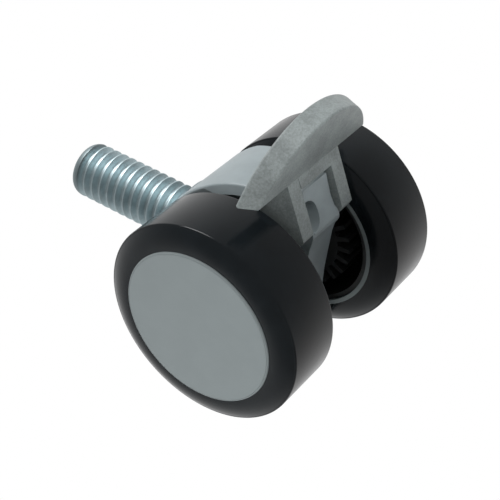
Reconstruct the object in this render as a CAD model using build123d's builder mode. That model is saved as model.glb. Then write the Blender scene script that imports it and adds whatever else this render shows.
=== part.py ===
"""Braked twin-wheel stem castor, modelled as separate pieces in millimetres.

The row frame has its origin on the stem's axis, at the plane where the stem leaves the
hood.  +Z runs up the stem, Y runs along the axle and +X points at the brake pedal.
"""

import os
from math import cos, radians, sin

from build123d import *

# ---- stem: 5/16-18 UNC stud, held in a socket of the housing --------------------------
STEM_RADIUS = 3.97  # major radius of the thread
STEM_RISE = 18.3  # tip above the mounting plane
STEM_SINK = 1.1  # undercut neck below the thread, inside the hood
NECK_RADIUS = 3.6
STEM_TIP_LENGTH = 1.5  # tapered end: along the stem and across it
STEM_TIP_DEPTH = 1.2
SHANK_RADIUS = 2.85  # plain part that turns in the sleeve
SHANK_LENGTH = 10.1
CLIP_WIDTH = 0.5
CLIP_RADIUS = 3.6
CLIP_MOUTH_ANGLE = 50  # opening of the retaining ring
GROOVE_DEPTH = 0.6
GROOVE_TO_END = 0.75
WASHER_THICKNESS = 0.5
SOCKET_RADIUS = 4.3
SOCKET_WALL = 1.7
SOCKET_FLOOR_GAP = 0.4  # between the stem's foot and the socket's floor

# ---- axle and wheels ------------------------------------------------------------------
AXLE_RADIUS = 1.5
AXLE_OVERHANG = 1.0  # axle past the wheel's hub
WHEEL_RADIUS = 14.25
TREAD_INSIDE = 7.9  # distances from the middle plane, along the axle
TREAD_WIDTH = 8.4
RIM_INSIDE = 6.55
RIM_OUTSIDE = 17.4
TYRE_DEPTH = 3.35  # from the rim to the tread
RIM_WALL = 0.6
DISC_THICKNESS = 0.8
SIDEWALL_BULGE = 0.45  # rise of the tyre's sidewalls over a straight line
TREAD_EDGE = 0.25
DISC_EDGE = 0.2
CORE_WALL = 0.7
CORE_WEB = 1.4
CORE_DISC_GAP = 1.6  # end of the core to the disc, room for the axle's retainer
TOOTH_COUNT = 24
TOOTH_ROOT_RADIUS = 5.63
TOOTH_TIP_RADIUS = 7.5
TOOTH_TIP_WIDTH = 0.55
TOOTH_ROOT_WIDTH = 0.95
TOOTH_LENGTH = 4.2
HUB_CORING_RADIUS = 4.3
HUB_TUBE_RADIUS = 2.9
SPACER_THICKNESS = 0.5
SPACER_RADIUS = 3.2
STARLOCK_RADIUS = 3.3
STARLOCK_THICKNESS = 0.45

# ---- housing --------------------------------------------------------------------------
HOOD_RADIUS = 14.2
HOOD_SKIN = 1.3
HOOD_HALF_WIDTH = 6.1
HOOD_FRONT_HALF_WIDTH = 4.9
HOOD_TAPER_DEPTH = 2.6  # the taper starts this far behind the front, along X
HOOD_CLEARANCE = 0.3  # mounting plane above the hood's top
HOOD_FRONT_ANGLE = 5
HOOD_BACK_ANGLE = 205
HOOD_EDGE = 0.35
WEB_HALF_WIDTH = 2.7
SHOULDER_HALF_WIDTH = 3.1
SHOULDER_RADIUS = 1.5
BOSS_RADIUS = 4.3
BOSS_HALF_LENGTH = 6.25
NOSE_TIP = (15.0, -4.65)  # underside of the nose, from the axle: (X, Z)
NOSE_BEND = (12.0, -5.75)
SHOULDER_LOW = (9.6, -7.15)
BELLY_FRONT = (6.7, -6.6)
BELLY_DEPTH = 6.2
NOTCH_RADIUS = 1.9
NOTCH_AT = (11.7, -2.5)  # (X, Y)
NOTCH_DEPTH = 5.8

# ---- brake lever ----------------------------------------------------------------------
PIVOT = (10.9, 0.5)  # from the axle: (X, Z)
PIVOT_PIN_RADIUS = 0.8
PIVOT_BOSS_RADIUS = 1.7
LEVER_SWING = 12  # degrees from free to locked
UNDERSIDE_CENTRE = (12.35, -3.25)  # of the blade's lower arc, and its slope and inner edge
UNDERSIDE_RADIUS = 13.0
UNDERSIDE_CHORD = 5.02
UNDERSIDE_DROOP = 11.3
TOPSIDE_CENTRE = (10.0, -1.07)
TOPSIDE_RADIUS = 15.5
TOPSIDE_CHORD = 7.45
TOPSIDE_DROOP = 5.9
BLADE_EDGE = 0.25
LEG_WIDTH = 2.28
LEG_ROOT = (17.6, -4.1)
LEG_END = (10.3, -7.3)
LEG_HEEL = (9.6, -7.0)
LEG_SHOULDER = (13.1, 0.6)  # top of the legs, under the hood's front edge
LEG_CREST = (16.8, -1.2)
LIP_INNER = (16.0, -4.95)
LIP_FACE_TOP = (16.9, -2.6)
DOG_TIP_RADIUS = 6.5  # of the locked dog, from the axle
DOG_LENGTH = 1.3
DOG_TIP_WIDTH = 0.42
DOG_ROOT_WIDTH = 0.85
DOG_REACH = 1.2  # overlap with the teeth along the axle
DOG_BEARING = -32.0  # direction of the locked dog, from the axle

# ---- fits -----------------------------------------------------------------------------
RUNNING_FIT = 0.05
AXIAL_PLAY = 0.1
SIDE_PLAY = 0.3  # between the lever's legs and the housing's shoulder

# ---- values worked out from the above -------------------------------------------------
AXLE_DROP = HOOD_RADIUS + HOOD_CLEARANCE  # axle below the mounting plane
AXLE_Z = -AXLE_DROP
HOOD_TAPER_START = HOOD_RADIUS - HOOD_TAPER_DEPTH
RIM_RADIUS = WHEEL_RADIUS - TYRE_DEPTH
SPACER_INSIDE = BOSS_HALF_LENGTH + AXIAL_PLAY / 2
CORE_INSIDE = SPACER_INSIDE + SPACER_THICKNESS + AXIAL_PLAY
CORE_OUTSIDE = RIM_OUTSIDE - DISC_THICKNESS - CORE_DISC_GAP
STARLOCK_INSIDE = CORE_OUTSIDE + 2 * AXIAL_PLAY
CORE_RADIUS = RIM_RADIUS - RIM_WALL
TREAD_OUTSIDE = TREAD_INSIDE + TREAD_WIDTH
AXLE_HALF_LENGTH = CORE_OUTSIDE + AXLE_OVERHANG
HOOD_INNER_RADIUS = HOOD_RADIUS - HOOD_SKIN
SHANK_FOOT = -STEM_SINK - SHANK_LENGTH
GROOVE_Z = SHANK_FOOT + GROOVE_TO_END
SLEEVE_BOTTOM = GROOVE_Z + CLIP_WIDTH + 2 * AXIAL_PLAY
WASHER_BOTTOM = -STEM_SINK - WASHER_THICKNESS - AXIAL_PLAY / 2
LEG_INSIDE = SHOULDER_HALF_WIDTH + SIDE_PLAY
LEG_OUTSIDE = LEG_INSIDE + LEG_WIDTH
PITCH_ANGLE = 360 / TOOTH_COUNT
TOOTH_OUTLINE = [
    (HUB_CORING_RADIUS, -TOOTH_ROOT_WIDTH / 2),
    (TOOTH_TIP_RADIUS, -TOOTH_TIP_WIDTH / 2),
    (TOOTH_TIP_RADIUS, TOOTH_TIP_WIDTH / 2),
    (HUB_CORING_RADIUS, TOOTH_ROOT_WIDTH / 2),
]
SIDES = {"left": 1, "right": -1}  # sign of Y

SIDE = Plane(origin=(0, 0, AXLE_Z), x_dir=(1, 0, 0), z_dir=(0, -1, 0))
LATHE = Plane(origin=(0, 0, AXLE_Z), x_dir=(0, 1, 0), z_dir=(1, 0, 0))
AXLE_LINE = Axis((0, 0, AXLE_Z), (0, 1, 0))


def polar(radius: float, bearing: float) -> tuple[float, float]:
    """A point of the side view, from the axle."""
    return radius * cos(radians(bearing)), radius * sin(radians(bearing))


def swung(point: tuple[float, float], turn: float) -> tuple[float, float]:
    """A point of the side view after the lever turns, positive with the pedal going down."""
    x, z = point[0] - PIVOT[0], point[1] - PIVOT[1]
    c, s = cos(radians(turn)), sin(radians(turn))
    return PIVOT[0] + x * c + z * s, PIVOT[1] - x * s + z * c


def side_plane(y: float) -> Plane:
    """The side view's plane, moved to a place along the axle."""
    return SIDE.offset(-y)


def dog_outline() -> list[tuple[float, float]]:
    """The dog's tapered section: drawn locked, pointing at the axle, then swung free."""
    along, across = polar(1, DOG_BEARING), polar(1, DOG_BEARING + 90)
    corners = [
        (DOG_TIP_RADIUS, -DOG_TIP_WIDTH / 2),
        (DOG_TIP_RADIUS, DOG_TIP_WIDTH / 2),
        (DOG_TIP_RADIUS + DOG_LENGTH, DOG_ROOT_WIDTH / 2),
        (DOG_TIP_RADIUS + DOG_LENGTH, -DOG_ROOT_WIDTH / 2),
    ]
    return [
        swung((r * along[0] + w * across[0], r * along[1] + w * across[1]), -LEVER_SWING)
        for r, w in corners
    ]


def blade_plane(centre: tuple[float, float], droop: float) -> Plane:
    """A face of the blade: its arc's centre in the side view and its slope going outward."""
    tilt = radians(droop)
    return Plane(
        origin=(centre[0], 0, AXLE_Z + centre[1]),
        x_dir=(cos(tilt), 0, -sin(tilt)),
        z_dir=(sin(tilt), 0, cos(tilt)),
    )


def blade_face(radius: float, chord: float) -> None:
    """A circle's segment, outboard of a chord across the pedal."""
    Circle(radius)
    with Locations((chord - 2 * radius, 0)):
        Rectangle(4 * radius, 4 * radius, mode=Mode.SUBTRACT)


def sidewall(rim_y: float, tread_y: float, outward: int) -> ThreePointArc:
    """A bulged sidewall from the rim to the tread, in the lathe's section."""
    middle = ((rim_y + tread_y) / 2, (RIM_RADIUS + WHEEL_RADIUS) / 2)
    crown = (middle[0] + outward * SIDEWALL_BULGE, middle[1] + SIDEWALL_BULGE / 2)
    return ThreePointArc((rim_y, RIM_RADIUS), crown, (tread_y, WHEEL_RADIUS))


def ring(low_y: float, high_y: float, inner: float, outer: float) -> None:
    """A rectangle of the lathe's section, from one place along the axle to another."""
    with Locations(((low_y + high_y) / 2, (inner + outer) / 2)):
        Rectangle(abs(high_y - low_y), outer - inner)


def save(piece: BuildPart, name: str) -> None:
    """Label a finished piece and write its STEP file."""
    piece.part.label = name
    export_step(piece.part, f"parts/{name}.step")


os.makedirs("parts", exist_ok=True)

# ---- stem and what holds it -----------------------------------------------------------
with BuildPart() as stem_stud:
    with BuildSketch(Plane.XY):
        Circle(STEM_RADIUS)
    extrude(amount=STEM_RISE)
    tip = stem_stud.faces().sort_by(Axis.Z)[-1]
    chamfer(tip.edges(), STEM_TIP_LENGTH, STEM_TIP_DEPTH, reference=tip)
    fillet(stem_stud.faces().sort_by(Axis.Z)[-1].edges(), STEM_TIP_DEPTH / 2)
    with BuildSketch(Plane.XY):
        Circle(NECK_RADIUS)
    extrude(amount=-STEM_SINK)
    with BuildSketch(Plane.XY.offset(-STEM_SINK)):
        Circle(SHANK_RADIUS)
    extrude(amount=-SHANK_LENGTH)
    with BuildSketch(Plane.XY.offset(GROOVE_Z)):
        Circle(SHANK_RADIUS)
        Circle(SHANK_RADIUS - GROOVE_DEPTH, mode=Mode.SUBTRACT)
    extrude(amount=CLIP_WIDTH, mode=Mode.SUBTRACT)
save(stem_stud, "stem_stud")

with BuildPart() as stem_circlip:
    with BuildSketch(Plane.XY.offset(GROOVE_Z)):
        Circle(CLIP_RADIUS)
        Circle(SHANK_RADIUS - GROOVE_DEPTH, mode=Mode.SUBTRACT)
        with BuildLine():
            mouth = [polar(2 * CLIP_RADIUS, side * CLIP_MOUTH_ANGLE / 2) for side in (-1, 1)]
            Polyline((0, 0), mouth[0], mouth[1], close=True)
        make_face(mode=Mode.SUBTRACT)
    extrude(amount=CLIP_WIDTH)
save(stem_circlip, "stem_circlip")

with BuildPart() as stem_sleeve:
    with BuildSketch(Plane.XY.offset(SLEEVE_BOTTOM)):
        Circle(SOCKET_RADIUS)
        Circle(SHANK_RADIUS + RUNNING_FIT, mode=Mode.SUBTRACT)
    extrude(amount=WASHER_BOTTOM - SLEEVE_BOTTOM)
save(stem_sleeve, "stem_sleeve")

with BuildPart() as thrust_washer:
    with BuildSketch(Plane.XY.offset(WASHER_BOTTOM)):
        Circle(SOCKET_RADIUS - AXIAL_PLAY)
        Circle(SHANK_RADIUS + RUNNING_FIT, mode=Mode.SUBTRACT)
    extrude(amount=WASHER_THICKNESS)
save(thrust_washer, "thrust_washer")

# ---- housing: hood, middle web with nose, stem socket and axle boss in one moulding -----
with BuildPart() as housing:
    with BuildSketch(SIDE):
        with BuildLine():
            CenterArc((0, 0), HOOD_RADIUS, HOOD_FRONT_ANGLE, HOOD_BACK_ANGLE - HOOD_FRONT_ANGLE)
            CenterArc(
                (0, 0), HOOD_INNER_RADIUS, HOOD_FRONT_ANGLE, HOOD_BACK_ANGLE - HOOD_FRONT_ANGLE
            )
            for bearing in (HOOD_FRONT_ANGLE, HOOD_BACK_ANGLE):
                Line(polar(HOOD_INNER_RADIUS, bearing), polar(HOOD_RADIUS, bearing))
        make_face()
    extrude(amount=HOOD_HALF_WIDTH, both=True)
    with BuildSketch(Plane.XY.offset(AXLE_Z)):
        for side in SIDES.values():
            with BuildLine():
                Polyline(
                    (HOOD_TAPER_START, side * HOOD_HALF_WIDTH),
                    (HOOD_RADIUS, side * HOOD_FRONT_HALF_WIDTH),
                    (HOOD_RADIUS + HOOD_SKIN, side * HOOD_FRONT_HALF_WIDTH),
                    (HOOD_RADIUS + HOOD_SKIN, side * 2 * HOOD_HALF_WIDTH),
                    (HOOD_TAPER_START, side * 2 * HOOD_HALF_WIDTH),
                    close=True,
                )
            make_face()
    extrude(amount=HOOD_RADIUS, mode=Mode.SUBTRACT)
    outer_skin = housing.faces().filter_by(GeomType.CYLINDER).sort_by(SortBy.AREA)[-1]
    fillet(outer_skin.edges(), HOOD_EDGE)

    with BuildSketch(SIDE):
        with BuildLine():
            back_low = polar(HOOD_INNER_RADIUS, HOOD_BACK_ANGLE)
            hood_front = polar(HOOD_RADIUS - HOOD_SKIN / 2, HOOD_FRONT_ANGLE)
            hood_back = polar(HOOD_RADIUS - HOOD_SKIN / 2, HOOD_BACK_ANGLE)
            Polyline(
                hood_back,
                (back_low[0] + BELLY_DEPTH / 2, -BELLY_DEPTH),
                (BELLY_FRONT[0] - BELLY_DEPTH, -BELLY_DEPTH),
                BELLY_FRONT,
                SHOULDER_LOW,
                NOSE_BEND,
                NOSE_TIP,
                hood_front,
            )
            CenterArc(
                (0, 0),
                HOOD_RADIUS - HOOD_SKIN / 2,
                HOOD_FRONT_ANGLE,
                HOOD_BACK_ANGLE - HOOD_FRONT_ANGLE,
            )
        make_face()
    extrude(amount=WEB_HALF_WIDTH, both=True)

    with BuildSketch(SIDE):
        with Locations((SHOULDER_LOW[0] - SHOULDER_RADIUS / 3, SHOULDER_LOW[1] + SHOULDER_RADIUS)):
            Circle(SHOULDER_RADIUS)
    extrude(amount=SHOULDER_HALF_WIDTH, both=True)

    with BuildSketch(SIDE):
        Circle(BOSS_RADIUS)
    extrude(amount=BOSS_HALF_LENGTH, both=True)

    with BuildSketch(Plane.XY.offset(SHANK_FOOT - SOCKET_WALL)):
        Circle(SOCKET_RADIUS + SOCKET_WALL)
    extrude(amount=HOOD_INNER_RADIUS + HOOD_SKIN / 2 + AXLE_Z - SHANK_FOOT + SOCKET_WALL)

    with BuildSketch(Plane.XY.offset(SHANK_FOOT - SOCKET_FLOOR_GAP)):
        Circle(SOCKET_RADIUS)
    extrude(amount=AXLE_DROP, mode=Mode.SUBTRACT)

    with BuildSketch(SIDE):
        Circle(AXLE_RADIUS)
        with Locations(PIVOT):
            Circle(PIVOT_PIN_RADIUS)
    extrude(amount=HOOD_HALF_WIDTH + SOCKET_WALL, both=True, mode=Mode.SUBTRACT)

    with BuildSketch(Plane.XY.offset(AXLE_Z + SHOULDER_LOW[1])):
        with Locations(NOTCH_AT):
            Circle(NOTCH_RADIUS)
    extrude(amount=NOTCH_DEPTH, mode=Mode.SUBTRACT)
save(housing, "housing")

# ---- axle ----------------------------------------------------------------------------
with BuildPart() as axle:
    with BuildSketch(SIDE):
        Circle(AXLE_RADIUS)
    extrude(amount=AXLE_HALF_LENGTH, both=True)
    chamfer(axle.edges().filter_by(GeomType.CIRCLE), AXLE_RADIUS / 5)
save(axle, "axle")

# ---- brake lever: blade, two legs with dogs, and the lip that joins them ----------------
with BuildPart() as brake_lever:
    with BuildSketch(blade_plane(UNDERSIDE_CENTRE, UNDERSIDE_DROOP)):
        blade_face(UNDERSIDE_RADIUS, UNDERSIDE_CHORD)
    with BuildSketch(blade_plane(TOPSIDE_CENTRE, TOPSIDE_DROOP)):
        blade_face(TOPSIDE_RADIUS, TOPSIDE_CHORD)
    loft(ruled=True)
    fillet(brake_lever.edges(), BLADE_EDGE)

    dog = dog_outline()
    with BuildSketch(side_plane(LEG_OUTSIDE), side_plane(-LEG_INSIDE)):
        with BuildLine():
            Polyline(
                LEG_ROOT,
                LEG_END,
                LEG_HEEL,
                dog[3],
                dog[0],
                dog[1],
                (PIVOT[0] - PIVOT_BOSS_RADIUS, PIVOT[1]),
                (PIVOT[0], PIVOT[1] + PIVOT_BOSS_RADIUS),
                LEG_SHOULDER,
                LEG_CREST,
                close=True,
            )
        make_face()
    extrude(amount=LEG_WIDTH)

    with BuildSketch(side_plane(CORE_INSIDE + DOG_REACH), side_plane(-LEG_OUTSIDE)):
        with BuildLine():
            Polyline(*dog, close=True)
        make_face()
    extrude(amount=CORE_INSIDE + DOG_REACH - LEG_OUTSIDE)

    with BuildSketch(SIDE):
        with BuildLine():
            Polyline(LEG_ROOT, LIP_INNER, LIP_FACE_TOP, close=True)
        make_face()
    extrude(amount=LEG_INSIDE, both=True)

    with BuildSketch(SIDE):
        with Locations(PIVOT):
            Circle(PIVOT_PIN_RADIUS + RUNNING_FIT)
    extrude(amount=LEG_OUTSIDE, both=True, mode=Mode.SUBTRACT)
save(brake_lever, "brake_lever")

with BuildPart() as lever_pin:
    with BuildSketch(SIDE):
        with Locations(PIVOT):
            Circle(PIVOT_PIN_RADIUS)
    extrude(amount=LEG_OUTSIDE, both=True)
    chamfer(lever_pin.edges().filter_by(GeomType.CIRCLE), PIVOT_PIN_RADIUS / 4)
save(lever_pin, "lever_pin")

# ---- wheels: the same pieces each side --------------------------------------------------
for name, side in SIDES.items():
    with BuildPart() as tyre:
        with BuildSketch(LATHE):
            with BuildLine():
                disc_side = side * (RIM_OUTSIDE - DISC_EDGE)
                Line((side * RIM_INSIDE, RIM_RADIUS), (disc_side, RIM_RADIUS))
                Line((side * TREAD_INSIDE, WHEEL_RADIUS), (side * TREAD_OUTSIDE, WHEEL_RADIUS))
                sidewall(side * RIM_INSIDE, side * TREAD_INSIDE, -side)
                sidewall(disc_side, side * TREAD_OUTSIDE, side)
            make_face()
        revolve(axis=AXLE_LINE)
        tread = tyre.faces().filter_by(GeomType.CYLINDER).sort_by(SortBy.AREA)[-1]
        fillet(tread.edges().filter_by(GeomType.CIRCLE), TREAD_EDGE)
    save(tyre, f"{name}_tyre")

    with BuildPart() as rim:
        with BuildSketch(LATHE):
            ring(side * RIM_INSIDE, side * RIM_OUTSIDE, 0, RIM_RADIUS)
        revolve(axis=AXLE_LINE)
        disc = rim.faces().filter_by(GeomType.PLANE).sort_by(Axis.Y)[-1 if side > 0 else 0]
        fillet(disc.edges(), DISC_EDGE)
        with BuildSketch(LATHE):
            ring(side * RIM_INSIDE, side * (RIM_OUTSIDE - DISC_THICKNESS), 0, CORE_RADIUS)
        revolve(axis=AXLE_LINE, mode=Mode.SUBTRACT)
    save(rim, f"{name}_rim")

    with BuildPart() as core:
        with BuildSketch(LATHE):
            inner, outer = side * CORE_INSIDE, side * CORE_OUTSIDE
            ring(inner, outer, AXLE_RADIUS + RUNNING_FIT, HUB_TUBE_RADIUS)
            ring(outer - side * CORE_WEB, outer, HUB_TUBE_RADIUS, CORE_RADIUS)
            ring(inner, outer, CORE_RADIUS - CORE_WALL, CORE_RADIUS)
            ring(inner, outer - side * CORE_WEB, HUB_CORING_RADIUS, TOOTH_ROOT_RADIUS)
            ring(inner, inner + side * CORE_WEB, HUB_TUBE_RADIUS, HUB_CORING_RADIUS)
        revolve(axis=AXLE_LINE)
        with BuildSketch(side_plane(side * (CORE_INSIDE + TOOTH_LENGTH / 2))):
            with PolarLocations(0, TOOTH_COUNT, start_angle=DOG_BEARING + PITCH_ANGLE / 2):
                Polygon(*TOOTH_OUTLINE, align=None)
        extrude(amount=TOOTH_LENGTH / 2, both=True)
    save(core, f"{name}_core")

    with BuildPart() as spacer:
        with BuildSketch(LATHE):
            ring(
                side * SPACER_INSIDE,
                side * (SPACER_INSIDE + SPACER_THICKNESS),
                AXLE_RADIUS + RUNNING_FIT,
                SPACER_RADIUS,
            )
        revolve(axis=AXLE_LINE)
    save(spacer, f"{name}_spacer")

    with BuildPart() as starlock:
        with BuildSketch(LATHE):
            ring(
                side * STARLOCK_INSIDE,
                side * (STARLOCK_INSIDE + STARLOCK_THICKNESS),
                AXLE_RADIUS,
                STARLOCK_RADIUS,
            )
        revolve(axis=AXLE_LINE)
    save(starlock, f"{name}_starlock")
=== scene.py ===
"""Dresses a braked twin-wheel stem castor and lights it in a plain white studio.

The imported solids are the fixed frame: the housing, the brake lever and the hidden hardware
keep their solids and get a finish, and the wheels and the stem get smoother, finer meshes.
Lengths are in millimetres where a class or an argument says so, else in metres.
"""

import logging
import math
from dataclasses import dataclass
from enum import Enum
from typing import Any

import bmesh
import bpy
from mathutils import Matrix, Vector


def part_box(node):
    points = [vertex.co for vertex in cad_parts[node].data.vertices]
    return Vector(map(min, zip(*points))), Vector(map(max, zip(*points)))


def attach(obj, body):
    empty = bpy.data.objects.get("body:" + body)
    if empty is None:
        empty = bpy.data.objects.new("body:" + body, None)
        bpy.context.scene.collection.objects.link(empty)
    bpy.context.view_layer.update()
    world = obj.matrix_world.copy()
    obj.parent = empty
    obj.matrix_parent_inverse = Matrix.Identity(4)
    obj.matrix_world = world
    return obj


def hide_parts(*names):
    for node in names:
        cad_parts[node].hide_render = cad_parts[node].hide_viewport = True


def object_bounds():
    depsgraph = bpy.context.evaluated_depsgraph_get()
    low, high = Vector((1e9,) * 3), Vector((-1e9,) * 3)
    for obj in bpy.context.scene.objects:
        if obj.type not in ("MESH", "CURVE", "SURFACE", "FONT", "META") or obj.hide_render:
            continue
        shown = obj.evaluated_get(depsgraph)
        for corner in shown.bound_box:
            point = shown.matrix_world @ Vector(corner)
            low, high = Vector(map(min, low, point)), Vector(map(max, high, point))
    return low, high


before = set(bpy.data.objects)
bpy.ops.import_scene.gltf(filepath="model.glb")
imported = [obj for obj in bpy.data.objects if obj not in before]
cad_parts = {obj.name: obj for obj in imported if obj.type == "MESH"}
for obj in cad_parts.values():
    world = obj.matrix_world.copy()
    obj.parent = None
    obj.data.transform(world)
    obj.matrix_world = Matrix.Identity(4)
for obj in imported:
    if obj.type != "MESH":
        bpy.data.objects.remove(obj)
CAD_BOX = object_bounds()

LOG = logging.getLogger("castor")
MM = 0.001

Colour = tuple[float, float, float]
Profile = list[tuple[float, float]]


class Side(Enum):
    """The two wheels, by the sign of Y."""

    LEFT = 1
    RIGHT = -1

    @property
    def word(self) -> str:
        """The word that the solids' names start with."""
        return self.name.lower()


# ---- node graphs --------------------------------------------------------------------------


class Value:
    """An output socket that takes part in sums, products and powers.

    Args:
        graph: The graph that the socket's node belongs to.
        socket: The output socket.
    """

    def __init__(self, graph: "Graph", socket: bpy.types.NodeSocket) -> None:
        self.graph = graph
        self.socket = socket

    def __add__(self, other: "Value | float") -> "Value":
        """Sum with a number or another value."""
        return self.graph.maths("ADD", self, other)

    __radd__ = __add__

    def __sub__(self, other: "Value | float") -> "Value":
        """Difference, this value first."""
        return self.graph.maths("SUBTRACT", self, other)

    def __rsub__(self, other: float) -> "Value":
        """Difference, the number first."""
        return self.graph.maths("SUBTRACT", other, self)

    def __mul__(self, other: "Value | float") -> "Value":
        """Product with a number or another value."""
        return self.graph.maths("MULTIPLY", self, other)

    __rmul__ = __mul__

    def __truediv__(self, other: "Value | float") -> "Value":
        """Quotient, this value on top."""
        return self.graph.maths("DIVIDE", self, other)

    def least(self, other: "Value | float") -> "Value":
        """The smaller of two values."""
        return self.graph.maths("MINIMUM", self, other)

    def most(self, other: "Value | float") -> "Value":
        """The larger of two values."""
        return self.graph.maths("MAXIMUM", self, other)

    def between(self, low: float, high: float) -> "Value":
        """0 below low, 1 above high, and a smooth step from one to the other.

        Args:
            low: Where the step starts.
            high: Where it ends.

        Returns:
            The share.
        """
        step = self.graph.node(
            "ShaderNodeMapRange",
            {"interpolation_type": "SMOOTHSTEP"},
            {"Value": self, "From Min": low, "From Max": high},
        )
        return Value(self.graph, step.outputs["Result"])


class Graph:
    """A node tree, with one method that makes every node.

    Args:
        tree: The shader or geometry node tree to fill.
    """

    def __init__(self, tree: bpy.types.NodeTree) -> None:
        self.tree = tree
        tree.nodes.clear()

    def node(
        self, kind: str, settings: dict[str, Any] | None = None, sockets: dict | None = None
    ) -> bpy.types.Node:
        """Make a node, set its options and fill its inputs.

        Args:
            kind: The node's type, such as "ShaderNodeMath".
            settings: Options set first, such as a Math node's operation.
            sockets: Input names or places, each with a number, colour or link.

        Returns:
            The new node.
        """
        made = self.tree.nodes.new(kind)
        for name, setting in (settings or {}).items():
            setattr(made, name, setting)
        for name, content in (sockets or {}).items():
            target = made.inputs[name]
            if isinstance(content, Value):
                content = content.socket
            if isinstance(content, bpy.types.NodeSocket):
                self.tree.links.new(content, target)
            else:
                target.default_value = content
        return made

    def maths(self, operation: str, *terms: "Value | float") -> Value:
        """A Math node on values or numbers."""
        made = self.node("ShaderNodeMath", {"operation": operation}, dict(enumerate(terms)))
        return Value(self, made.outputs["Value"])

    def noise(self, where: Any, size_mm: float, detail: float = 2.0, rough: float = 0.5) -> Value:
        """Noise from 0 to 1, at a size in millimetres.

        Args:
            where: The coordinates that it follows.
            size_mm: The size of its blobs.
            detail: How many finer layers are added.
            rough: How strong the finer layers are.

        Returns:
            The noise.
        """
        made = self.node(
            "ShaderNodeTexNoise",
            None,
            {"Vector": where, "Scale": 1 / (size_mm * MM), "Detail": detail, "Roughness": rough},
        )
        return Value(self, made.outputs["Fac"])

    def blend(self, share: Value, first: Colour, second: Colour) -> bpy.types.NodeSocket:
        """Mix two colours.

        Args:
            share: 0 for the first colour, 1 for the second.
            first: The first colour.
            second: The second colour.

        Returns:
            The mixed colour's socket.
        """
        made = self.node("ShaderNodeMix", {"data_type": "RGBA"})
        self.tree.links.new(share.socket, made.inputs["Factor"])
        made.inputs[6].default_value = (*first, 1.0)
        made.inputs[7].default_value = (*second, 1.0)
        return made.outputs[2]


# ---- finishes -----------------------------------------------------------------------------


def darker(colour: Colour, share: float) -> Colour:
    """A colour times a share."""
    return (colour[0] * share, colour[1] * share, colour[2] * share)


@dataclass(frozen=True)
class Plastic:
    """Injection-moulded plastic: uneven gloss, faint clouding and a fine grain.

    Sizes are in millimetres.
    """

    name: str
    colour: Colour
    roughness: float
    clouding: float = 0.06
    cloud_size: float = 3.0
    grain_size: float = 0.25
    grain_height: float = 0.004
    unevenness: float = 0.06
    speckle: float = 0.0
    speckle_size: float = 0.3
    specular: float = 0.5

    def material(self) -> bpy.types.Material:
        """Build the material.

        Returns:
            A material named after the finish.
        """
        made = bpy.data.materials.new(self.name)
        made.use_nodes = True
        graph = Graph(made.node_tree)
        where = graph.node("ShaderNodeTexCoord").outputs["Object"]
        clouds = graph.noise(where, self.cloud_size, 4.0, 0.6)
        grain = graph.noise(where, self.grain_size, 2.0, 0.6)
        flecks = graph.noise(where, self.speckle_size, 3.0, 0.7)
        tone = clouds * (1 - self.speckle) + flecks * self.speckle
        swing = self.clouding + self.speckle / 2
        colour = graph.blend(
            tone.between(0.3, 0.7),
            darker(self.colour, 1 - swing),
            darker(self.colour, 1 + swing),
        )
        bump = graph.node(
            "ShaderNodeBump", None, {"Height": grain, "Distance": self.grain_height * MM}
        )
        surface = graph.node(
            "ShaderNodeBsdfPrincipled",
            None,
            {
                "Base Color": colour,
                "Roughness": (clouds - 0.5) * (2 * self.unevenness) + self.roughness,
                "Normal": bump.outputs["Normal"],
                "Specular IOR Level": self.specular,
            },
        )
        graph.node("ShaderNodeOutputMaterial", None, {"Surface": surface.outputs["BSDF"]})
        return made


@dataclass(frozen=True)
class Metal:
    """Plated or turned metal with uneven gloss, sizes in millimetres.

    Above a given height, where it isn't 0, the end is darkened by a share: painted shade standing
    in for the shadow on the end face.
    """

    name: str
    colour: Colour
    roughness: float
    blotch_size: float = 1.5
    blotches: float = 0.12
    painted_shade_height: float = 0.0
    painted_shade_share: float = 0.5
    painted_shade_blend: float = 0.2

    def material(self) -> bpy.types.Material:
        """Build the material.

        Returns:
            A material named after the finish.
        """
        made = bpy.data.materials.new(self.name)
        made.use_nodes = True
        graph = Graph(made.node_tree)
        where = graph.node("ShaderNodeTexCoord").outputs["Object"]
        blotches = graph.noise(where, self.blotch_size, 3.0, 0.6)
        colour = graph.blend(
            blotches.between(0.35, 0.65),
            darker(self.colour, 1 - self.blotches),
            darker(self.colour, 1 + self.blotches / 2),
        )
        # Painted shade: the end above the height is darkened as if it lay in shadow.
        if self.painted_shade_height:
            height = Value(graph, graph.node("ShaderNodeSeparateXYZ", None, {0: where}).outputs[2])
            start, end = self.painted_shade_height - self.painted_shade_blend, self.painted_shade_height + self.painted_shade_blend
            painted_shade_mask = height.between(start * MM, end * MM)
            shaded = graph.node("ShaderNodeMix", {"data_type": "RGBA"}, {0: painted_shade_mask, 6: colour})
            shaded.inputs[7].default_value = (*darker(self.colour, self.painted_shade_share), 1.0)
            colour = shaded.outputs[2]
        surface = graph.node(
            "ShaderNodeBsdfPrincipled",
            None,
            {
                "Base Color": colour,
                "Metallic": 1.0,
                "Roughness": blotches * self.blotches + self.roughness,
            },
        )
        graph.node("ShaderNodeOutputMaterial", None, {"Surface": surface.outputs["BSDF"]})
        return made


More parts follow.
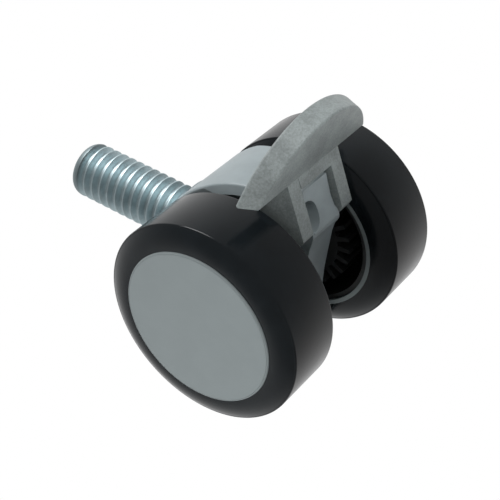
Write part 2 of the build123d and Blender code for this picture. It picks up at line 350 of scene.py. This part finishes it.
HOOD_GREY = Plastic("hood_grey", (0.27, 0.315, 0.33), 0.42)
LEVER_GREY = Plastic(
    "lever_grey", (0.215, 0.243, 0.242), 0.46, speckle=0.5, speckle_size=0.28, grain_height=0.014
)
DISC_GREY = Plastic("disc_grey", (0.21, 0.24, 0.245), 0.55, clouding=0.02, specular=0.3)
TREAD_BLACK = Plastic("tread_black", (0.0055, 0.0078, 0.0095), 0.21, clouding=0.1, specular=0.3)
CORE_BLACK = Plastic("core_black", (0.018, 0.019, 0.019), 0.4)
ACETAL = Plastic("acetal_natural", (0.62, 0.6, 0.54), 0.4)
# The stud's end above 16.8 mm is darkened with painted shade.
ZINC = Metal("zinc_plate", (0.54, 0.65, 0.68), 0.48, painted_shade_height=16.8)
STEEL = Metal("plain_steel", (0.45, 0.45, 0.46), 0.35)


# ---- meshes -------------------------------------------------------------------------------


def arc(
    centre: tuple[float, float], radius: float, start: float, end: float, steps: int
) -> Profile:
    """Points of an arc in a section.

    Args:
        centre: The arc's centre, along the axis and outward from it.
        radius: Its radius.
        start: Its first bearing, in degrees.
        end: Its last bearing, in degrees.
        steps: How many runs it is divided into.

    Returns:
        The points in order.
    """
    turns = [math.radians(start + (end - start) * step / steps) for step in range(steps + 1)]
    return [(centre[0] + radius * math.cos(t), centre[1] + radius * math.sin(t)) for t in turns]


def bulge(
    first: tuple[float, float], last: tuple[float, float], rise: float, steps: int
) -> Profile:
    """Points of a shallow curve between two places, bulging to the left of the way there.

    Args:
        first: Where the curve starts.
        last: Where it ends.
        rise: How far its middle stands off the straight line.
        steps: How many runs it is divided into.

    Returns:
        The points in order.
    """
    run = (last[0] - first[0], last[1] - first[1])
    length = math.hypot(*run)
    aside = (-run[1] / length, run[0] / length)
    points = []
    for step in range(steps + 1):
        share = step / steps
        lift = rise * 4 * share * (1 - share)
        points.append(
            tuple(first[i] + run[i] * share + aside[i] * lift for i in range(len(first)))
        )
    return points


class Lathe:
    """Turns closed sections into smooth solids of revolution.

    Args:
        axle: A point on the axis, in metres.
        segments: How many steps go round.
        upright: Whether the axis is Z, as the stem's is, and not Y, as the wheels' is.
    """

    ON_AXIS = 1e-7

    def __init__(self, axle: Vector, segments: int = 160, upright: bool = False) -> None:
        self.axle = axle
        self.segments = segments
        self.upright = upright

    def place(self, along: float, out: float, turn: float) -> Vector:
        """The place of a section's point at a turn about the axis.

        Args:
            along: How far along the axis it is.
            out: How far out from the axis.
            turn: The turn, in radians.

        Returns:
            The place.
        """
        if self.upright:
            return self.axle + Vector((out * math.cos(turn), out * math.sin(turn), along))
        return self.axle + Vector((out * math.cos(turn), along, out * math.sin(turn)))

    def turn(self, name: str, section: Profile) -> bpy.types.Object:
        """Turn a closed section about the axis.

        Args:
            name: The new object's name.
            section: Points (along the axis, outward from it), in metres.

        Returns:
            The object, with its place in its mesh.
        """
        shape = bmesh.new()
        rings = []
        for along, out in section:
            if out < self.ON_AXIS:
                rings.append([shape.verts.new(self.place(along, 0.0, 0.0))])
                continue
            turns = (2 * math.pi * step / self.segments for step in range(self.segments))
            rings.append([shape.verts.new(self.place(along, out, t)) for t in turns])
        pairs = list(zip(rings, rings[1:]))
        if len(rings[-1]) + len(rings[0]) > 2:
            pairs.append((rings[-1], rings[0]))
        for inner, outer in pairs:
            self._skin(shape, inner, outer)
        bmesh.ops.recalc_face_normals(shape, faces=shape.faces)
        return finished(name, shape)

    def _skin(self, shape: bmesh.types.BMesh, first: list, second: list) -> None:
        """Join two rings, either of which may be a single point on the axis.

        Args:
            shape: The mesh that the rings are in.
            first: One ring's corners.
            second: The next ring's corners.
        """
        for step in range(self.segments):
            after = (step + 1) % self.segments
            corners = [first[step % len(first)], first[after % len(first)]]
            corners += [second[after % len(second)], second[step % len(second)]]
            unique = list(dict.fromkeys(corners))
            if len(unique) > 2:
                shape.faces.new(unique)


def finished(name: str, shape: bmesh.types.BMesh, smooth_angle: float = 32.0) -> bpy.types.Object:
    """Make an object of a mesh, smooth except over its sharp edges.

    Args:
        name: The object's name.
        shape: The mesh, which is freed.
        smooth_angle: Edges that turn by more degrees than this stay sharp.

    Returns:
        The linked object.
    """
    mesh = bpy.data.meshes.new(name)
    for edge in shape.edges:
        if len(edge.link_faces) == 2 and edge.calc_face_angle() > math.radians(smooth_angle):
            edge.smooth = False
    for face in shape.faces:
        face.smooth = True
    shape.to_mesh(mesh)
    shape.free()
    made = bpy.data.objects.new(name, mesh)
    bpy.context.scene.collection.objects.link(made)
    return made


def dress(piece: bpy.types.Object, material: bpy.types.Material) -> None:
    """Give a piece one material, whether or not it has a slot.

    Args:
        piece: The object to dress.
        material: Its material.
    """
    if piece.material_slots:
        for slot in piece.material_slots:
            slot.material = material
    else:
        piece.data.materials.append(material)


# ---- sub-assemblies -----------------------------------------------------------------------


@dataclass
class Wheel:
    """A wheel: black tyre, grey rim with its disc, and the toothed core. Sizes in mm."""

    side: Side
    tread_edge: float = 0.22
    sidewall_rise: float = 0.3
    disc_edge: float = 0.25
    rim_wall: float = 0.6
    disc_thickness: float = 0.8
    inner_slant: float = 1.35
    outer_slant: float = 1.1
    edge_steps: int = 6
    wall_steps: int = 12
    disc_edge_steps: int = 5
    disc_ring: float = 0.98

    def build(self, tyre: bpy.types.Material, disc: bpy.types.Material) -> list[bpy.types.Object]:
        """Make the tyre and the rim, each standing for its solid.

        Args:
            tyre: The tyre's material.
            disc: The rim's material.

        Returns:
            The pieces.
        """
        word, sign = self.side.word, self.side.value
        low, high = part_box(f"{word}_tyre")
        rim_low, rim_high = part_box(f"{word}_rim")
        axle = Vector(((low.x + high.x) / 2, 0, (low.z + high.z) / 2))
        lathe = Lathe(axle)
        out = (high.z - low.z) / 2
        rim_out = (rim_high.z - rim_low.z) / 2
        near = min(abs(rim_low.y), abs(rim_high.y))
        far = max(abs(rim_low.y), abs(rim_high.y))
        made = []
        for name, section, material in (
            (f"{word}_tyre_smooth", self.tyre_section(near, far, rim_out, out), tyre),
            (f"{word}_rim_smooth", self.rim_section(near, far, rim_out), disc),
        ):
            piece = lathe.turn(name, [(sign * along, radius) for along, radius in section])
            dress(piece, material)
            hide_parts(name.removesuffix("_smooth"))
            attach(piece, f"{word}_wheel")
            made.append(piece)
        return made

    def tyre_section(self, near: float, far: float, rim_out: float, out: float) -> Profile:
        """The tyre's section, from the hood's side round to the disc's.

        Args:
            near: The rim's end by the hood, along the axle.
            far: The disc's face.
            rim_out: The rim's radius.
            out: The tread's radius.

        Returns:
            The section's points.
        """
        edge = self.tread_edge * MM
        rise = self.sidewall_rise * MM
        inner_tread = near + self.inner_slant * MM
        outer_tread = far - self.outer_slant * MM
        disc_side = far - self.disc_edge * MM
        section = bulge((near, rim_out), (inner_tread, out - edge), rise, self.wall_steps)
        section += arc((inner_tread + edge, out - edge), edge, 180, 90, self.edge_steps)
        section += arc((outer_tread - edge, out - edge), edge, 90, 0, self.edge_steps)
        section += bulge((outer_tread, out - edge), (disc_side, rim_out), rise, self.wall_steps)
        return section

    def rim_section(self, near: float, far: float, rim_out: float) -> Profile:
        """The rim's section: a thin cup whose bottom is the disc.

        Args:
            near: The rim's end by the hood, along the axle.
            far: The disc's face.
            rim_out: The rim's radius.

        Returns:
            The section's points.
        """
        edge, wall = self.disc_edge * MM, self.rim_wall * MM
        inner_face = far - self.disc_thickness * MM
        section = [(inner_face, 0.0), (inner_face, rim_out - wall), (near, rim_out - wall)]
        section += [(near, rim_out)]
        section += arc((far - edge, rim_out - edge), edge, 90, 0, self.disc_edge_steps)
        section += [(far, rim_out * self.disc_ring), (far, rim_out / 2), (far, 0.0)]
        return section


@dataclass
class Stem:
    """The stud: a cut thread that ends in a dome, over its neck and shank. Sizes in mm."""

    pitch: float = 25.4 / 18
    thread_depth: float = 0.76
    crest_flat: float = 0.16
    root_flat: float = 0.25
    dome_length: float = 1.5
    dome_depth: float = 1.2
    dome_fade: float = 4.0
    run_out: float = 0.3
    end_cap: float = 1.0
    neck_radius: float = 3.6
    neck_length: float = 1.1
    shank_radius: float = 2.85
    around: int = 96
    rows_per_turn: int = 14
    shank_segments: int = 64
    weld_gap: float = 0.002
    sharp_angle: float = 38.0

    def build(self, zinc: bpy.types.Material) -> list[bpy.types.Object]:
        """Make the thread and the shank, which stand for the stud's solid.

        Args:
            zinc: The stud's material.

        Returns:
            The pieces.
        """
        low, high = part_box("stem_stud")
        thread = self.thread(zinc, (high.x - low.x) / 2, high.z)
        shank = self.shank(low.z)
        dress(shank, zinc)
        for piece in (thread, shank):
            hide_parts("stem_stud")
            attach(piece, "stem")
        return [thread, shank]

    def shank(self, foot: float) -> bpy.types.Object:
        """Turn the neck and the shank that hold the stud in the socket.

        Args:
            foot: The height of the shank's foot, in metres.

        Returns:
            The closed piece.
        """
        neck, shank = self.neck_radius * MM, self.shank_radius * MM
        top = -self.neck_length * MM
        section = [(0, 0), (0, neck), (top, neck), (top, shank), (foot, shank), (foot, 0)]
        lathe = Lathe(Vector((0, 0, 0)), self.shank_segments, upright=True)
        return lathe.turn("stem_shank", section)

    def thread(self, zinc: bpy.types.Material, crest: float, end: float) -> bpy.types.Object:
        """Make the thread with Geometry Nodes and turn it into a plain mesh.

        Args:
            zinc: Its material.
            crest: The radius over its crests, in metres.
            end: The height of the stud's end, in metres.

        Returns:
            The thread, closed at both ends.
        """
        step = self.pitch * MM / self.rows_per_turn
        rows = math.ceil((end + (self.pitch + 2 * self.end_cap) * MM) / step)
        cap = (rows * step - end - self.pitch * MM) / 2
        sizes = {
            "Crest Radius": crest,
            "Thread Depth": self.thread_depth * MM,
            "Pitch": self.pitch * MM,
            "End": end,
            "Cap": cap,
            "Dome Length": self.dome_length * MM,
            "Dome Depth": self.dome_depth * MM,
            "Run Out": self.run_out * MM,
        }
        tree = bpy.data.node_groups.new("cut_thread", "GeometryNodeTree")
        tree.interface.new_socket("Geometry", in_out="OUTPUT", socket_type="NodeSocketGeometry")
        sockets = {
            name: tree.interface.new_socket(name, in_out="INPUT", socket_type="NodeSocketFloat")
            for name in sizes
        }
        self.helix(Graph(tree), rows, zinc)
        holder = finished("stem_thread_plan", bmesh.new())
        modifier = holder.modifiers.new("thread", "NODES")
        modifier.node_group = tree
        for name, size in sizes.items():
            modifier[sockets[name].identifier] = size
        view = bpy.context.evaluated_depsgraph_get()
        mesh = bpy.data.meshes.new_from_object(holder.evaluated_get(view))
        bpy.data.objects.remove(holder)
        shape = bmesh.new()
        shape.from_mesh(mesh)
        bmesh.ops.recalc_face_normals(shape, faces=shape.faces)
        thread = finished("stem_thread", shape, smooth_angle=self.sharp_angle)
        dress(thread, zinc)
        return thread

    def helix(self, graph: Graph, rows: int, zinc: bpy.types.Material) -> None:
        """Fill the thread's tree: a grid rolled up along a helix, one row of it to a flank.

        Args:
            graph: The tree's graph.
            rows: How many rows the grid has along the stud.
            zinc: The material.
        """
        given = graph.node("NodeGroupInput").outputs
        size = {name: Value(graph, given[name]) for name in given.keys() if name}
        pitch, end, cap, crest = size["Pitch"], size["End"], size["Cap"], size["Crest Radius"]
        grid = graph.node(
            "GeometryNodeMeshGrid",
            None,
            {"Size X": 1.0, "Size Y": 1.0, "Vertices X": self.around + 1, "Vertices Y": rows + 1},
        )
        place = graph.node("GeometryNodeInputPosition").outputs[0]
        parts = graph.node("ShaderNodeSeparateXYZ", None, {0: place}).outputs
        share = Value(graph, parts[0]) + 0.5
        row = (Value(graph, parts[1]) + 0.5) * (end + pitch + cap * 2)
        height = row - pitch - cap + share * pitch
        flank = graph.maths("ABSOLUTE", graph.maths("FRACT", row / pitch) * 2 - 1)
        slope = 1 - self.crest_flat - self.root_flat
        cut = ((1 - self.crest_flat - flank) / slope).most(0.0).least(1.0)
        begun = (height / size["Run Out"]).most(0.0).least(1.0)
        depth = size["Thread Depth"]
        rise = ((height - end) / size["Dome Length"] + 1).most(0.0).least(1.0)
        plain = (rise * self.dome_fade).least(1.0)
        threaded = crest - depth + depth * (1 - cut * (1 - plain)) * begun
        dome = crest - size["Dome Depth"] * (1 - graph.maths("SQRT", 1 - rise * rise))
        closing = (1 - (height - end) / cap).least(1 + height / cap).most(0.0).least(1.0)
        radius = threaded.least(dome) * closing
        turn = share * math.tau
        rolled = graph.node(
            "ShaderNodeCombineXYZ",
            None,
            {
                0: radius * graph.maths("COSINE", turn),
                1: radius * graph.maths("SINE", turn),
                2: height.most(0.0).least(end),
            },
        )
        moved = graph.node(
            "GeometryNodeSetPosition",
            None,
            {"Geometry": grid.outputs["Mesh"], "Position": rolled.outputs[0]},
        )
        welded = graph.node(
            "GeometryNodeMergeByDistance",
            None,
            {"Geometry": moved.outputs[0], "Distance": self.weld_gap * MM},
        )
        real = graph.node("GeometryNodeRealizeInstances", None, {0: welded.outputs[0]})
        coated = graph.node(
            "GeometryNodeSetMaterial", None, {"Geometry": real.outputs[0], "Material": zinc}
        )
        graph.node("NodeGroupOutput", None, {"Geometry": coated.outputs[0]})


@dataclass
class Castings:
    """The nodes that keep their solids, each with its finish."""

    def dress(self) -> None:
        """Give each kept solid its material."""
        finishes = {
            HOOD_GREY: ["housing"],
            LEVER_GREY: ["brake_lever"],
            ACETAL: ["stem_sleeve", "thrust_washer", "left_spacer", "right_spacer"],
            STEEL: ["axle", "lever_pin", "stem_circlip", "left_starlock", "right_starlock"],
            CORE_BLACK: ["left_core", "right_core"],
        }
        for finish, nodes in finishes.items():
            material = finish.material()
            for node in nodes:
                dress(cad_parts[node], material)
            LOG.info("%s: %s", finish.name, ", ".join(nodes))


# ---- studio -------------------------------------------------------------------------------


@dataclass(frozen=True)
class Lamp:
    """A soft square lamp, in metres and watts; shows says whether gloss reflects it."""

    name: str
    place: tuple[float, float, float]
    size: float
    power: float
    shows: bool


@dataclass
class Studio:
    """A white room, a pale floor that is clear from below, soft lamps and the camera.

    The room is brighter behind the castor than on the camera's side. Lengths are in metres.
    """

    lamp_list: tuple[Lamp, ...] = (
        Lamp("key", (0.28, 0.00, 0.18), 0.15, 0.88, True),
        Lamp("disc_fill", (-0.20, -0.30, 0.10), 0.26, 0.98, False),
    )
    lamp_aim: tuple[float, float, float] = (0, 0, -0.01)
    sensor_width: float = 36.0
    near_side: float = -0.35
    far_side: float = 0.75
    floor_gap: float = 0.0001
    floor_grey: float = 0.85

    camera_place: tuple[float, float, float] = (0.10510, -0.10904, -0.07927)
    look: tuple[float, float, float] = (-0.63345, 0.65462, 0.41256)
    head: tuple[float, float, float] = (0.77116, 0.49025, 0.40616)
    lens: float = 88.83
    near_level: float = 0.24
    far_level: float = 0.85
    floor_clear: float = 0.04
    floor_end: float = 0.16

    def build(self) -> None:
        """Make the world, floor, lamps and camera."""
        self.world()
        self.floor()
        self.lamps()
        self.camera()

    def world(self) -> None:
        """Light all round, brighter behind the castor than on the camera's side, on a background
        that shows white.
        """
        world = bpy.data.worlds.new("studio")
        world.use_nodes = True
        graph = Graph(world.node_tree)
        seen = Value(graph, graph.node("ShaderNodeLightPath").outputs["Is Camera Ray"])
        facing = graph.node(
            "ShaderNodeVectorMath",
            {"operation": "DOT_PRODUCT"},
            {0: graph.node("ShaderNodeTexCoord").outputs["Generated"], 1: self.look},
        )
        level = Value(graph, facing.outputs["Value"]).between(self.near_side, self.far_side)
        level = level * (self.far_level - self.near_level) + self.near_level
        level = level * (1 - seen) + seen
        sky = graph.node("ShaderNodeBackground", None, {"Color": (1, 1, 1, 1), "Strength": level})
        graph.node("ShaderNodeOutputWorld", None, {"Surface": sky.outputs["Background"]})
        bpy.context.scene.world = world

    def floor(self) -> None:
        """A pale floor under the wheels, seen from above only."""
        low = CAD_BOX[0]
        shape = bmesh.new()
        bmesh.ops.create_grid(shape, x_segments=1, y_segments=1, size=self.floor_end)
        bmesh.ops.translate(shape, verts=shape.verts, vec=(0, 0, low[2] - self.floor_gap))
        floor = finished("floor", shape)
        made = bpy.data.materials.new("floor_pale")
        made.use_nodes = True
        graph = Graph(made.node_tree)
        grey = (self.floor_grey,) * 3
        pale = graph.node("ShaderNodeBsdfDiffuse", None, {"Color": (*grey, 1)})
        clear = graph.node("ShaderNodeBsdfTransparent")
        under = Value(graph, graph.node("ShaderNodeNewGeometry").outputs["Backfacing"])
        mirrored = graph.node("ShaderNodeLightPath").outputs["Is Glossy Ray"]
        away = graph.node(
            "ShaderNodeVectorMath",
            {"operation": "LENGTH"},
            {0: graph.node("ShaderNodeTexCoord").outputs["Object"]},
        )
        faded = Value(graph, away.outputs["Value"]).between(self.floor_clear, self.floor_end)
        mixed = graph.node(
            "ShaderNodeMixShader",
            None,
            {
                0: under.most(Value(graph, mirrored)).most(faded),
                1: pale.outputs[0],
                2: clear.outputs[0],
            },
        )
        graph.node("ShaderNodeOutputMaterial", None, {"Surface": mixed.outputs[0]})
        dress(floor, made)

    def lamps(self) -> None:
        """Soft rectangular lamps aimed at the castor."""
        for each in self.lamp_list:
            lamp = bpy.data.lights.new(each.name, "AREA")
            lamp.size = each.size
            lamp.energy = each.power
            holder = bpy.data.objects.new(each.name, lamp)
            holder.location = each.place
            holder.visible_glossy = each.shows
            aim = Vector(self.lamp_aim) - holder.location
            holder.rotation_euler = aim.to_track_quat("-Z", "Y").to_euler()
            bpy.context.scene.collection.objects.link(holder)

    def camera(self) -> None:
        """A long lens from below the pedal's corner, turned so that the stem points left."""
        lens = bpy.data.cameras.new("camera")
        lens.lens = self.lens
        lens.sensor_width = self.sensor_width
        lens.clip_start = 0.005
        holder = bpy.data.objects.new("camera", lens)
        look = Vector(self.look).normalized()
        head = Vector(self.head).normalized()
        right = look.cross(head)
        turn = Matrix((right, head, -look)).transposed().to_4x4()
        holder.matrix_world = Matrix.Translation(Vector(self.camera_place)) @ turn
        bpy.context.scene.collection.objects.link(holder)
        bpy.context.scene.camera = holder


def main() -> None:
    """Build the castor and its studio."""
    logging.basicConfig(level=logging.INFO, format="%(message)s")
    bpy.context.scene.view_settings.view_transform = "Standard"
    Castings().dress()
    for piece in Stem().build(ZINC.material()):
        LOG.info("%s: %d faces", piece.name, len(piece.data.polygons))
    tyre, disc = TREAD_BLACK.material(), DISC_GREY.material()
    for side in Side:
        for piece in Wheel(side).build(tyre, disc):
            LOG.info("%s: %d faces", piece.name, len(piece.data.polygons))
    Studio().build()


if __name__ == "__main__":
    main()
